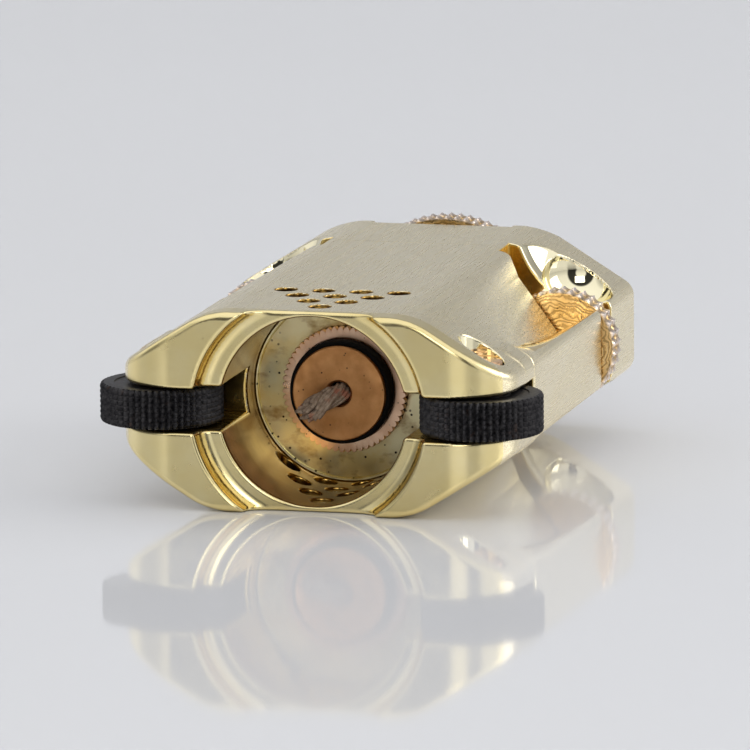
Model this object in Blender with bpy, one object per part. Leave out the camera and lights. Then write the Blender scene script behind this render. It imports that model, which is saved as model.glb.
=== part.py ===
"""Pocket petrol lighter with two striking wheels, machined from a brass bar.

The lighter lies on a broad face. X runs across it, Y along it from the chimney
to the filler cap, and Z through its thickness. Units are metres.
"""

import math

import bmesh
import bpy
from mathutils import Matrix, Vector

MM = 0.001
GAP = 0.3 * MM            # between pieces that bear on each other
RUNNING = 0.1 * MM        # radial clearance of what turns or slides

# Block: an eight-sided bar with two broad faces
LENGTH = 56.0 * MM
WIDTH = 40.0 * MM
THICK = 20.0 * MM
BROAD_WIDTH = 21.2 * MM
CHAMFER_DROP = 5.85 * MM
EDGE_ROUND = 0.6 * MM
SHOULDER_R = 6.3 * MM     # of the front corners, seen from above

# Chimney
RECESS_R = 11.75 * MM
RECESS_DEPTH = 2.0 * MM
CHIMNEY_R = 9.5 * MM
CHIMNEY_FLOOR = 15.8 * MM
VENT_R = 1.15 * MM
VENT_PITCH = 3.86 * MM
VENT_ROW = 2.95 * MM
VENT_APEX = 5.45 * MM
VENT_ROWS = 4

# Striking wheels
WHEEL_X = 16.3 * MM
WHEEL_Y = 5.6 * MM
WHEEL_R = 6.15 * MM
WHEEL_HEIGHT = 3.9 * MM
WHEEL_EDGE = 0.4 * MM
SLOT_HEIGHT = 4.4 * MM
SLOT_DEPTH = 12.6 * MM
AXLE_R = 2.1 * MM
AXLE_HOLE_R = 2.25 * MM
AXLE_HALF = 5.2 * MM

# Flint feed, one on each side
FEED_X = 15.4 * MM
FEED_BORE_R = 1.4 * MM
FLINT_R = 1.25 * MM
FLINT_START = 12.1 * MM
FLINT_END = 18.1 * MM
SPRING_END = 29.7 * MM
SPRING_WIRE_R = 0.22 * MM
SPRING_TURNS = 9
PUSHER_END = 50.0 * MM
NUT_R = 5.9 * MM
NUT_START = 41.8 * MM
NUT_END = 44.9 * MM
NUT_SLOT_START = 41.3 * MM
NUT_SLOT_END = 45.8 * MM
NUT_SLOT_X = 9.25 * MM
PLUG_SCREW_R = 2.1 * MM
PLUG_SCREW_LENGTH = 4.0 * MM

# Finger scoops in the chamfers: a long ramp in front of each feed nut, a trough and a bowl behind it.
# Places in them are lengths down the chamfer's slope and depths under it.
RAMP_START = 8.8 * MM
RAMP_TOP, RAMP_KNEE = (-0.4 * MM, 0.0), (2.17 * MM, 1.93 * MM)
RAMP_VALLEY, RAMP_LIP = (8.7 * MM, 4.57 * MM), (10.81 * MM, 0.0)
RAMP_MIDDLE = 7.5 * MM    # the slope length towards which the ramp narrows
RAMP_NARROWING = 0.25
RAMP_DEEPENING = 1.25
TROUGH_MIDDLE = 5.8 * MM
TROUGH_INNER_HALF = 6.2 * MM
TROUGH_OUTER_HALF = 5.0 * MM
TROUGH_DEPTH = 2.55 * MM
TROUGH_LENGTH = 4.6 * MM
BOWL_MIDDLE = 6.65 * MM
BOWL_Y = 47.6 * MM
BOWL_R = 4.0 * MM
BOWL_LIFT = 0.3 * MM      # of the ball's centre above the chamfer

# Burner
PLATE_R = 9.35 * MM
PLATE_THICK = 2.8 * MM
SEAT_R = 6.2 * MM         # counterbore for the ring's seal
SEAT_DEPTH = 0.5 * MM
RING_R = 6.37 * MM
RING_BORE_R = 5.35 * MM
RING_FRONT = 14.5 * MM
RING_SLEEVE_R = 5.75 * MM
RING_END = 22.0 * MM
PLUG_R = 4.77 * MM
PLUG_FRONT = 12.4 * MM
PLUG_FACE = 0.45 * MM     # thickness of its front flange
PLUG_GROOVE_R = 3.6 * MM
PLUG_GROOVE_END = 1.75 * MM
PLUG_SEAL_WIRE_R = 0.7 * MM
WICK_R = 1.05 * MM
WICK_HOLE_R = 1.17 * MM
WICK_END = 46.0 * MM

# Tank and filler cap
TANK_R = 8.0 * MM
TANK_START = 18.9 * MM
PACKING_R = 7.7 * MM
PACKING_START = 24.0 * MM
PACKING_END = 47.0 * MM
FELT_THICK = 1.6 * MM
CAP_RECESS_R = 12.2 * MM
CAP_RECESS_DEPTH = 1.0 * MM
CAP_R = 10.6 * MM
CAP_THICK = 3.2 * MM
CAP_SPIGOT_R = 7.6 * MM
CAP_SPIGOT = 5.0 * MM
KNURL_GROOVE = 0.35 * MM  # depth of the groove between two knurled bands
KNURL_EDGE = 0.35 * MM
SEAL_INNER_R = 7.8 * MM
SEAL_OUTER_R = 9.6 * MM
SEAL_THICK = 0.8 * MM

# The cap's rim is a little wider than the block is thick, so the rim sets the height of the axis.
AXIS_HEIGHT = CAP_R
CAP_START = LENGTH + 0.2 * MM
CAP_END = CAP_START + CAP_THICK
FRONT_REACH = WHEEL_R - WHEEL_Y
MIDDLE_Y = (CAP_END - FRONT_REACH) / 2

BRASS = (0.83, 0.72, 0.44)
PALE_BRASS = (0.80, 0.74, 0.50)
COPPER = (0.74, 0.47, 0.30)
STEEL = (0.50, 0.50, 0.52)
BLACK_STEEL = (0.045, 0.042, 0.045)
RUBBER = (0.02, 0.02, 0.02)
COTTON = (0.82, 0.79, 0.72)
FELT = (0.55, 0.53, 0.48)
WICK = (0.42, 0.36, 0.29)
FLINT_GREY = (0.30, 0.29, 0.28)


def clear_scene():
    for obj in list(bpy.data.objects):
        bpy.data.objects.remove(obj)


def material(name, colour, roughness, metallic):
    made = bpy.data.materials.get(name)
    if made is None:
        made = bpy.data.materials.new(name)
        made.use_nodes = True
        shader = made.node_tree.nodes["Principled BSDF"]
        shader.inputs["Base Color"].default_value = (*colour, 1.0)
        shader.inputs["Roughness"].default_value = roughness
        shader.inputs["Metallic"].default_value = metallic
    return made


def brass():
    return material("brass", BRASS, 0.28, 1.0)


def pale_brass():
    return material("pale_brass", PALE_BRASS, 0.4, 1.0)


def copper():
    return material("copper", COPPER, 0.35, 1.0)


def steel():
    return material("steel", STEEL, 0.35, 1.0)


def black_steel():
    return material("black_steel", BLACK_STEEL, 0.5, 0.8)


def rubber():
    return material("rubber", RUBBER, 0.6, 0.0)


def cotton():
    return material("cotton", COTTON, 0.95, 0.0)


def felt():
    return material("felt", FELT, 0.95, 0.0)


def wick_cotton():
    return material("wick_cotton", WICK, 0.95, 0.0)


def flint_metal():
    return material("flint_metal", FLINT_GREY, 0.7, 0.3)


def datum():
    """The middle of the block's front face, as the parent of every piece."""
    empty = bpy.data.objects.new("front_datum", None)
    empty.location = (0.0, -MIDDLE_Y, AXIS_HEIGHT)
    bpy.context.scene.collection.objects.link(empty)
    return empty


def add_object(name, bm, parent, place=(0.0, 0.0, 0.0), look=None, smooth=math.radians(30)):
    """Makes an object of a bmesh, standing at a place measured from the datum."""
    bmesh.ops.recalc_face_normals(bm, faces=bm.faces)
    mesh = bpy.data.meshes.new(name)
    bm.to_mesh(mesh)
    bm.free()
    mesh.shade_smooth()
    mesh.set_sharp_from_angle(angle=smooth)
    obj = bpy.data.objects.new(name, mesh)
    obj.parent = parent
    obj.location = place
    if look:
        mesh.materials.append(look)
    bpy.context.scene.collection.objects.link(obj)
    return obj


def as_cutter(obj):
    obj.hide_render = True
    obj.display_type = "WIRE"
    return obj


def cut(obj, cutter, operation="DIFFERENCE"):
    boolean = obj.modifiers.new(cutter.name, "BOOLEAN")
    boolean.operation = operation
    boolean.solver = "EXACT"
    boolean.object = cutter


def ring_of(bm, radius, along, axis, segments, centre=(0.0, 0.0)):
    """A ring of vertices round an axis, or one vertex where the radius is nought."""
    if radius == 0.0:
        turns = [(0.0, 0.0)]
    else:
        angles = [2 * math.pi * (i + 0.5) / segments for i in range(segments)]
        turns = [(radius * math.cos(a), radius * math.sin(a)) for a in angles]
    ring = []
    for u, v in turns:
        u, v = u + centre[0], v + centre[1]
        point = (u, along, v) if axis == "Y" else (u, v, along)
        ring.append(bm.verts.new(point))
    return ring


def bridge(bm, first, second):
    """Joins two rings, either of which may be a single vertex."""
    count = max(len(first), len(second))
    for i in range(count):
        j = (i + 1) % count
        if len(first) == 1:
            bm.faces.new((first[0], second[j], second[i]))
        elif len(second) == 1:
            bm.faces.new((first[i], first[j], second[0]))
        else:
            bm.faces.new((first[i], first[j], second[j], second[i]))


def lathe(profile, axis="Y", segments=48, bm=None, centre=(0.0, 0.0), closed=False):
    """Turns (radius, position along the axis) pairs into a solid; a closed profile makes a ring."""
    bm = bm or bmesh.new()
    rings = [ring_of(bm, r, along, axis, segments, centre) for r, along in profile]
    for first, second in zip(rings, rings[1:]):
        bridge(bm, first, second)
    if closed:
        bridge(bm, rings[-1], rings[0])
    return bm


def solid_bar(radius, start, end, edge=0.0):
    """Profile of a solid cylinder with bevelled ends."""
    if edge == 0.0:
        return [(0.0, start), (radius, start), (radius, end), (0.0, end)]
    return [
        (0.0, start), (radius - edge, start), (radius, start + edge),
        (radius, end - edge), (radius - edge, end), (0.0, end),
    ]


def tube(inner, outer, start, end, edge=0.0):
    """Closed profile of a tube or a thick ring with bevelled outer edges."""
    if edge == 0.0:
        return [(inner, start), (outer, start), (outer, end), (inner, end)]
    return [
        (inner, start), (outer - edge, start), (outer, start + edge),
        (outer, end - edge), (outer - edge, end), (inner, end),
    ]


def box(low, high, bm=None):
    bm = bm or bmesh.new()
    low, high = Vector(low), Vector(high)
    size = Matrix.Diagonal((*(high - low), 1.0))
    bmesh.ops.create_cube(bm, size=1.0, matrix=Matrix.Translation((low + high) / 2) @ size)
    return bm


def extrude_outline(points, axis, start, end):
    """A prism with the given outline: (x, z) pairs along Y, or (x, y) pairs along Z."""
    bm = bmesh.new()
    ends = []
    for along in (start, end):
        if axis == "Y":
            ring = [bm.verts.new((u, along, v)) for u, v in points]
        else:
            ring = [bm.verts.new((u, v, along)) for u, v in points]
        bm.faces.new(ring)
        ends.append(ring)
    bridge(bm, ends[0], ends[1])
    return bm


def block_section():
    """The bar's eight corners as (x, z) pairs."""
    flat, side = BROAD_WIDTH / 2, WIDTH / 2
    top, low = THICK / 2, THICK / 2 - CHAMFER_DROP
    return [
        (-flat, -top), (flat, -top), (side, -low), (side, low),
        (flat, top), (-flat, top), (-side, low), (-side, -low),
    ]


def plan_outline(steps=8):
    """The block seen from above, with its rounded front shoulders, as (x, y) pairs."""
    centre = WIDTH / 2 - SHOULDER_R
    reach = SHOULDER_R + 0.12 * MM        # a little wider, so that the curve crosses the sides
    right = []
    for i in range(steps + 1):
        angle = math.pi / 2 * i / steps
        right.append((centre + reach * math.sin(angle), SHOULDER_R * (1 - math.cos(angle))))
    side = WIDTH / 2 + MM
    right += [(side, SHOULDER_R + MM), (side, LENGTH)]
    return right + [(-x, y) for x, y in reversed(right)]


def make_block(parent):
    bm = extrude_outline(block_section(), "Y", -MM, LENGTH)
    long_edges = [e for e in bm.edges if abs(e.verts[0].co.y - e.verts[1].co.y) > MM]
    bmesh.ops.bevel(
        bm, geom=long_edges, offset=EDGE_ROUND, segments=2, profile=0.5, affect="EDGES", clamp_overlap=True
    )
    block = add_object("body", bm, parent, look=brass())
    plan = extrude_outline(plan_outline(), "Z", -THICK, THICK)
    cut(block, as_cutter(add_object("plan_guide", plan, parent)), "INTERSECT")
    return block


def chimney_cutter(parent):
    """The front recess, the chimney bore and, past the plate's seat, the tank."""
    profile = [
        (0.0, -3 * MM), (RECESS_R, -3 * MM), (RECESS_R, RECESS_DEPTH), (CHIMNEY_R, RECESS_DEPTH),
        (CHIMNEY_R, TANK_START), (TANK_R, TANK_START), (TANK_R, LENGTH - CAP_RECESS_DEPTH),
        (CAP_RECESS_R, LENGTH - CAP_RECESS_DEPTH), (CAP_RECESS_R, LENGTH + 3 * MM), (0.0, LENGTH + 3 * MM),
    ]
    return as_cutter(add_object("chimney_cutter", lathe(profile, segments=72), parent))


def vents():
    """Centres of the vent holes, a triangle with its apex towards the front, as (x, y) pairs."""
    found = []
    for row in range(VENT_ROWS):
        for i in range(row + 1):
            found.append(((i - row / 2) * VENT_PITCH, VENT_APEX + row * VENT_ROW))
    return found


def upright_cutter(parent):
    """The vent holes and the two axle holes, straight through the thickness."""
    bm = bmesh.new()
    for centre in vents():
        lathe(solid_bar(VENT_R, -THICK, THICK), "Z", 16, bm, centre)
    for side in (-1, 1):
        lathe(solid_bar(AXLE_HOLE_R, -THICK, THICK), "Z", 32, bm, (side * WHEEL_X, WHEEL_Y))
    return as_cutter(add_object("upright_cutter", bm, parent))


def wheel_slot_cutter(parent):
    half = SLOT_HEIGHT / 2
    bm = box((-WIDTH, -3 * MM, -half), (WIDTH, SLOT_DEPTH, half))
    return as_cutter(add_object("wheel_slot_cutter", bm, parent))


def feed_cutter(parent):
    """The flint bores, drilled from the base and widened there for their closing screws."""
    bm = bmesh.new()
    screw_seat = LENGTH - PLUG_SCREW_LENGTH - 0.6 * MM
    profile = [
        (0.0, SLOT_DEPTH - MM), (FEED_BORE_R, SLOT_DEPTH - MM), (FEED_BORE_R, screw_seat),
        (PLUG_SCREW_R + RUNNING, screw_seat), (PLUG_SCREW_R + RUNNING, LENGTH + MM), (0.0, LENGTH + MM),
    ]
    for side in (-1, 1):
        lathe(profile, "Y", 24, bm, (side * FEED_X, 0.0))
    return as_cutter(add_object("feed_cutter", bm, parent))


def nut_slot_cutter(parent):
    bm = bmesh.new()
    for side in (-1, 1):
        inner, outer = side * NUT_SLOT_X, side * WIDTH
        low = (min(inner, outer), NUT_SLOT_START, -THICK)
        high = (max(inner, outer), NUT_SLOT_END, THICK)
        box(low, high, bm)
    return as_cutter(add_object("nut_slot_cutter", bm, parent))


def chamfer_point(along, depth):
    """(x, z) of a point on the upper right chamfer, from its distance down the slope and its depth."""
    run, drop = (WIDTH - BROAD_WIDTH) / 2, CHAMFER_DROP
    slope = math.hypot(run, drop)
    x = BROAD_WIDTH / 2 + (along * run - depth * drop) / slope
    z = THICK / 2 - (along * drop + depth * run) / slope
    return x, z


def ramp_section(y):
    """The ramp's outline at one station: a skewed valley, as (slope length, depth) pairs."""
    share = (y - RAMP_START) / (NUT_SLOT_START - RAMP_START)
    spread, deep = share ** RAMP_NARROWING, share ** RAMP_DEEPENING
    above = 0.15                          # share of each outer wall that runs on above the chamfer
    top = [a + (a - b) * above for a, b in zip(RAMP_TOP, RAMP_KNEE)]
    lip = [a + (a - b) * above for a, b in zip(RAMP_LIP, RAMP_VALLEY)]
    section = []
    for along, depth in (top, RAMP_KNEE, RAMP_VALLEY, lip):
        section.append((RAMP_MIDDLE + (along - RAMP_MIDDLE) * spread, depth * deep))
    return section


def trough_section(y, steps=12):
    """The trough's outline at one station: a flat curve that rises away from the slot."""
    beyond = max(y - NUT_SLOT_END, 0.0) / TROUGH_LENGTH
    section = []
    for i in range(steps + 1):
        share = 1.04 * (2 * i / steps - 1)
        half = TROUGH_INNER_HALF if share < 0 else TROUGH_OUTER_HALF
        section.append((TROUGH_MIDDLE + half * share, TROUGH_DEPTH * (1 - share ** 2 - beyond ** 2)))
    return section


def scoop_stations(count=9):
    """The sections of the ramp and of the trough, each with its y."""
    ramp, trough = [], []
    for i in range(count):
        y = RAMP_START + (NUT_SLOT_START + MM - RAMP_START) * ((i + 0.8) / (count - 0.2)) ** 1.5
        ramp.append((y, ramp_section(y)))
    for i in range(count):
        y = NUT_SLOT_END - MM + (TROUGH_LENGTH * 1.04 + MM) * i / (count - 1)
        trough.append((y, trough_section(y)))
    return ramp, trough


def scoop_cutter(parent):
    """Ramps and troughs in all four chamfers, each closed well above its chamfer."""
    lid = 5.0 * MM
    bm = bmesh.new()
    for side in (-1, 1):
        for face in (-1, 1):
            for stations in scoop_stations():
                rings = []
                for y, section in stations:
                    outline = section + [(section[-1][0] + MM, -lid), (section[0][0] - MM, -lid)]
                    ring = [chamfer_point(along, depth) for along, depth in outline]
                    rings.append([bm.verts.new((side * x, y, face * z)) for x, z in ring])
                for first, second in zip(rings, rings[1:]):
                    bridge(bm, first, second)
                bm.faces.new(rings[0])
                bm.faces.new(rings[-1])
    return as_cutter(add_object("scoop_cutter", bm, parent))


def bowl_cutter(parent):
    """The round bowls behind the nuts, cut with a ball."""
    x, z = chamfer_point(BOWL_MIDDLE, -BOWL_LIFT)
    bm = bmesh.new()
    for side in (-1, 1):
        for face in (-1, 1):
            centre = Matrix.Translation((side * x, BOWL_Y, face * z))
            bmesh.ops.create_uvsphere(bm, u_segments=30, v_segments=18, radius=BOWL_R, matrix=centre)
    return as_cutter(add_object("bowl_cutter", bm, parent))


def make_body(parent):
    body = make_block(parent)
    makers = (
        chimney_cutter, upright_cutter, wheel_slot_cutter, nut_slot_cutter, feed_cutter,
        scoop_cutter, bowl_cutter,
    )
    for make in makers:
        cut(body, make(parent))


def make_burner(parent):
    hole, edge, seat = RING_SLEEVE_R + RUNNING, 0.15 * MM, CHIMNEY_FLOOR + SEAT_DEPTH
    plate_profile = [
        (SEAT_R, CHIMNEY_FLOOR), (PLATE_R - edge, CHIMNEY_FLOOR), (PLATE_R, CHIMNEY_FLOOR + edge),
        (PLATE_R, CHIMNEY_FLOOR + PLATE_THICK), (hole, CHIMNEY_FLOOR + PLATE_THICK), (hole, seat),
        (SEAT_R, seat),
    ]
    plate = lathe(plate_profile, closed=True, segments=64)
    add_object("burner_plate", plate, parent, look=pale_brass())
    washer = tube(hole + 0.02 * MM, SEAT_R - 0.05 * MM, seat - 0.65 * MM, seat - 0.05 * MM)
    add_object("burner_seal", lathe(washer, closed=True, segments=48), parent, look=rubber())
    flange_end = CHIMNEY_FLOOR - GAP
    profile = [
        (RING_BORE_R, RING_FRONT), (RING_R, RING_FRONT), (RING_R, flange_end), (RING_SLEEVE_R, flange_end),
        (RING_SLEEVE_R, RING_END), (PLUG_R + RUNNING, RING_END), (PLUG_R + RUNNING, RING_FRONT + MM),
        (RING_BORE_R, RING_FRONT + MM),
    ]
    add_object("wick_ring", lathe(profile, closed=True, segments=64), parent, look=copper())


def make_wick_plug(parent):
    """The plug has a groove behind its face, which holds the rubber ring."""
    groove_start, groove_end = PLUG_FRONT + PLUG_FACE, PLUG_FRONT + PLUG_GROOVE_END + GAP
    profile = [
        (WICK_HOLE_R, PLUG_FRONT), (PLUG_R, PLUG_FRONT), (PLUG_R, groove_start),
        (PLUG_GROOVE_R, groove_start), (PLUG_GROOVE_R, groove_end),
        (PLUG_R, groove_end), (PLUG_R, RING_END - MM), (WICK_HOLE_R, RING_END - MM),
    ]
    add_object("wick_plug", lathe(profile, closed=True, segments=56), parent, look=copper())
    centre_r = PLUG_GROOVE_R + PLUG_SEAL_WIRE_R + 0.05 * MM
    centre_y = groove_start + PLUG_SEAL_WIRE_R + 0.08 * MM
    section, steps = [], 12
    for i in range(steps):
        angle = 2 * math.pi * i / steps
        across, along = PLUG_SEAL_WIRE_R * math.cos(angle), PLUG_SEAL_WIRE_R * math.sin(angle)
        section.append((centre_r + across, centre_y + along))
    add_object("plug_seal", lathe(section, closed=True, segments=40), parent, look=rubber())


def make_wick(parent):
    """A straight wick with its burnt end leaning down and to the left."""
    curve = bpy.data.curves.new("wick", "CURVE")
    curve.dimensions = "3D"
    curve.bevel_depth = WICK_R
    curve.bevel_resolution = 2
    curve.use_fill_caps = True
    lean = ((-2.9, 9.4, -1.5), (-1.9, 10.1, -0.95), (-0.9, 10.9, -0.4), (-0.2, 11.8, -0.08))
    points = [Vector(p) * MM for p in lean]
    points += [Vector((0.0, 12.6 * MM, 0.0)), Vector((0.0, WICK_END, 0.0))]
    spline = curve.splines.new("POLY")
    spline.points.add(len(points) - 1)
    for place, point in zip(spline.points, points):
        place.co = (*point, 1.0)
    obj = bpy.data.objects.new("wick", curve)
    obj.parent = parent
    curve.materials.append(wick_cotton())
    bpy.context.scene.collection.objects.link(obj)


def make_tank(parent):
    roll = tube(WICK_R + 0.15 * MM, PACKING_R, PACKING_START, PACKING_END)
    add_object("packing", lathe(roll, closed=True, segments=32), parent, look=cotton())
    start = PACKING_END + GAP
    pad = lathe(solid_bar(PACKING_R, start, start + FELT_THICK), segments=32)
    add_object("felt_pad", pad, parent, look=felt())


def knurled_rim(radius, start, end):
    """Profile of a rim in two bands with a groove between them."""
    middle = (start + end) / 2
    return [
        (radius - KNURL_EDGE, start), (radius, start + KNURL_EDGE), (radius, middle - KNURL_GROOVE),
        (radius - KNURL_GROOVE, middle), (radius, middle + KNURL_GROOVE), (radius, end - KNURL_EDGE),
        (radius - KNURL_EDGE, end),
    ]


def make_cap(parent):
    tip = LENGTH - CAP_SPIGOT
    profile = [(0.0, tip), (CAP_SPIGOT_R - KNURL_EDGE, tip), (CAP_SPIGOT_R, tip + KNURL_EDGE)]
    profile += [(CAP_SPIGOT_R, CAP_START)] + knurled_rim(CAP_R, CAP_START, CAP_END) + [(0.0, CAP_END)]
    add_object("filler_cap", lathe(profile, segments=64), parent, look=copper())
    start = LENGTH - CAP_RECESS_DEPTH + 0.1 * MM
    washer = lathe(tube(SEAL_INNER_R, SEAL_OUTER_R, start, start + SEAL_THICK), closed=True, segments=40)
    add_object("cap_seal", washer, parent, look=rubber())


def make_wheel(name, side, parent):
    half = WHEEL_HEIGHT / 2
    profile = tube(AXLE_R + RUNNING, WHEEL_R, -half, half, WHEEL_EDGE)
    place = (side * WHEEL_X, WHEEL_Y, 0.0)
    add_object(name + "_wheel", lathe(profile, "Z", 64, closed=True), parent, place, black_steel())
    pin = lathe(solid_bar(AXLE_R, -AXLE_HALF, AXLE_HALF, 0.2 * MM), "Z", 32)
    add_object(name + "_axle", pin, parent, place, copper())


def make_spring(name, side, parent):
    """A compression spring whose coils are swept round the feed's axis."""
    start, end = FLINT_END + GAP, SPRING_END - GAP
    radius = FLINT_R - SPRING_WIRE_R
    per_turn, around = 12, 6
    bm = bmesh.new()
    rings = []
    count = SPRING_TURNS * per_turn
    for i in range(count + 1):
        angle = 2 * math.pi * i / per_turn
        y = start + SPRING_WIRE_R + (end - start - 2 * SPRING_WIRE_R) * i / count
        out = Vector((math.cos(angle), 0.0, math.sin(angle)))
        ring = []
        for k in range(around):
            turn = 2 * math.pi * k / around
            offset = SPRING_WIRE_R * (math.cos(turn) * out + math.sin(turn) * Vector((0.0, 1.0, 0.0)))
            ring.append(bm.verts.new(radius * out + Vector((0.0, y, 0.0)) + offset))
        rings.append(ring)
    for first, second in zip(rings, rings[1:]):
        bridge(bm, first, second)
    bm.faces.new(rings[0])
    bm.faces.new(rings[-1])
    add_object(name + "_flint_spring", bm, parent, (side * FEED_X, 0.0, 0.0), steel())


def make_feed(name, side, parent):
    """Flint, spring, pusher and knurled nut, and the screw that closes the bore."""
    place = (side * FEED_X, 0.0, 0.0)
    flint = lathe(solid_bar(FLINT_R, FLINT_START, FLINT_END, 0.1 * MM), segments=20)
    add_object(name + "_flint", flint, parent, place, flint_metal())
    make_spring(name, side, parent)
    pusher = lathe(solid_bar(FEED_BORE_R - RUNNING, SPRING_END, PUSHER_END, 0.2 * MM), segments=24)
    add_object(name + "_pusher", pusher, parent, place, steel())
    rim = knurled_rim(NUT_R, NUT_START, NUT_END)
    nut = lathe([(FEED_BORE_R, NUT_START)] + rim + [(FEED_BORE_R, NUT_END)], closed=True, segments=48)
    add_object(name + "_feed_nut", nut, parent, place, copper())
    start, end = LENGTH - PLUG_SCREW_LENGTH, LENGTH - 0.3 * MM
    screw = lathe(solid_bar(PLUG_SCREW_R, start, end, 0.2 * MM), segments=24)
    closing = add_object(name + "_bore_screw", screw, parent, place, steel())
    slot = box((-3 * MM, end - 0.7 * MM, -0.35 * MM), (3 * MM, end + MM, 0.35 * MM))
    cut(closing, as_cutter(add_object(name + "_screw_slot", slot, parent, place)))


def main():
    clear_scene()
    front = datum()
    make_body(front)
    make_burner(front)
    make_wick_plug(front)
    make_wick(front)
    make_tank(front)
    make_cap(front)
    for name, side in (("left", -1), ("right", 1)):
        make_wheel(name, side, front)
        make_feed(name, side, front)


main()
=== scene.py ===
"""Looks for the brass pocket lighter: a finely rounded block with knurled wheels, nuts, ring and cap."""

import math
import random

import bpy
import numpy as np
from mathutils import Matrix, Vector


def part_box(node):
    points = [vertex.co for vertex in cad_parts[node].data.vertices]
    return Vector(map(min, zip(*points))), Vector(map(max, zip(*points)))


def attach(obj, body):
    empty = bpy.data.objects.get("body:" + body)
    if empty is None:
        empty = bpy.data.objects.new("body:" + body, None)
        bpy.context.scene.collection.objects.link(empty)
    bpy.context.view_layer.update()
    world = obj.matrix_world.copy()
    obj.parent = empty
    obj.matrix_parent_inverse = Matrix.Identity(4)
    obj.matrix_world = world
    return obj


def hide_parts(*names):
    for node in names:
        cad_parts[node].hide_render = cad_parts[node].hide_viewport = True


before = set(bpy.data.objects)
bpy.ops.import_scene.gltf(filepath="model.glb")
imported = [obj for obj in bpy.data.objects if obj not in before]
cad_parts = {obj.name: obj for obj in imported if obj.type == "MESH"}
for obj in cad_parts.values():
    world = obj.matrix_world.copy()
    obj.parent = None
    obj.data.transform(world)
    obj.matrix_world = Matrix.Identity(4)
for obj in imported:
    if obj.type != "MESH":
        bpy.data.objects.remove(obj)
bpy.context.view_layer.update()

MM = 0.001
VIEW_AZIMUTH, VIEW_ELEVATION = 14.543, 10.35    # degrees to the right of the front, and above it
GRID = 0.15              # millimetres between the samples of the block's surface
ON_CUTTER = 0.06            # a face this near a cutter's surface takes the cutter's finish
FRONT_DEPTH = 3.0           # how far back the front face's finish reaches


def middle(node):
    low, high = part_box(node)
    return (low + high) / 2


def size(node):
    low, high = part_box(node)
    return high - low


# The middle of the block's front face. Lengths of the block below are millimetres from it.
FRONT = Vector((0.0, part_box("body")[0].y, middle("body").z))

LENGTH, HALF_WIDTH, HALF_THICK = (size("body").y / MM, size("body").x / 2 / MM, size("body").z / 2 / MM)
BROAD_HALF = 10.6
CHAMFER_DROP = 5.85
CHAMFER_RUN = HALF_WIDTH - BROAD_HALF
CHAMFER_SLOPE = math.hypot(CHAMFER_RUN, CHAMFER_DROP)
SHOULDER_R = 6.3
LONG_EDGE, FRONT_EDGE, BASE_EDGE = 1.3, 0.8, 0.4    # how far the block's outer edges are rounded
RECESS_R, RECESS_DEPTH = 11.75, 2.0
CHIMNEY_R, TANK_START, TANK_R = 9.5, 18.9, 8.0
CAP_RECESS_R, CAP_RECESS_DEPTH = 12.2, 1.0
VENT_R, VENT_PITCH, VENT_ROW, VENT_APEX, VENT_ROWS = 1.15, 3.86, 2.95, 5.45, 4
WHEEL_SLOT_HALF, WHEEL_SLOT_DEPTH = 2.2, 12.6
AXLE_HOLE_R = 2.25
FEED_BORE_R, SCREW_BORE_R, SCREW_SEAT = 1.4, 2.2, 51.4
NUT_SLOT = (41.3, 45.8)
NUT_SLOT_X = 9.25
SCOOP_START = 8.8
RAMP_MIDDLE, RAMP_NARROWING, RAMP_DEEPENING = 7.5, 0.25, 1.25
LIP_START, LIP_OPENING = 12.5, 3.5          # where the ramp reaches the chamfer's outer edge
VALLEY = 8.7                                # the ramp's lowest line, as a length down the chamfer
TROUGH_MIDDLE, TROUGH_INNER_HALF, TROUGH_OUTER_HALF = 5.8, 6.2, 5.0
TROUGH_DEPTH, TROUGH_LENGTH = 2.55, 4.6
BOWL_MIDDLE, BOWL_Y, BOWL_R, BOWL_LIFT = 6.65, 47.6, 4.0, 0.3
WHEEL_X, WHEEL_Y = (middle("right_wheel") - FRONT).xy / MM
FEED_X = middle("right_feed_nut").x / MM


# The block's surface, as a field that is negative inside the brass

def round_and(a, b, radius):
    """Negative where both fields are, with a rounded edge where they meet."""
    corner = np.hypot(np.maximum(a + radius, 0.0), np.maximum(b + radius, 0.0))
    return corner + np.minimum(np.maximum(a, b), -radius)


def cut(field, cutter, radius):
    return round_and(field, -cutter, radius)


def above_chamfer(x, z):
    """How far a point lies above the chamfer's plane."""
    return ((x - BROAD_HALF) * CHAMFER_DROP + (z - HALF_THICK) * CHAMFER_RUN) / CHAMFER_SLOPE


def block_outside(x, y, z):
    """The bar with its chamfers and its rounded shoulders."""
    section = round_and(z - HALF_THICK, above_chamfer(x, z), LONG_EDGE)
    plan = round_and(x - HALF_WIDTH, -y, SHOULDER_R)
    return round_and(round_and(section, plan, FRONT_EDGE), y - LENGTH, BASE_EDGE)


def ramp_depth(along):
    """How deep the ramp's section lies under the chamfer, that far down the slope."""
    floor = np.minimum(0.3 + 0.75 * along, 1.05 + 0.405 * along)
    return np.minimum(floor, 2.17 * (10.81 - along))


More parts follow.
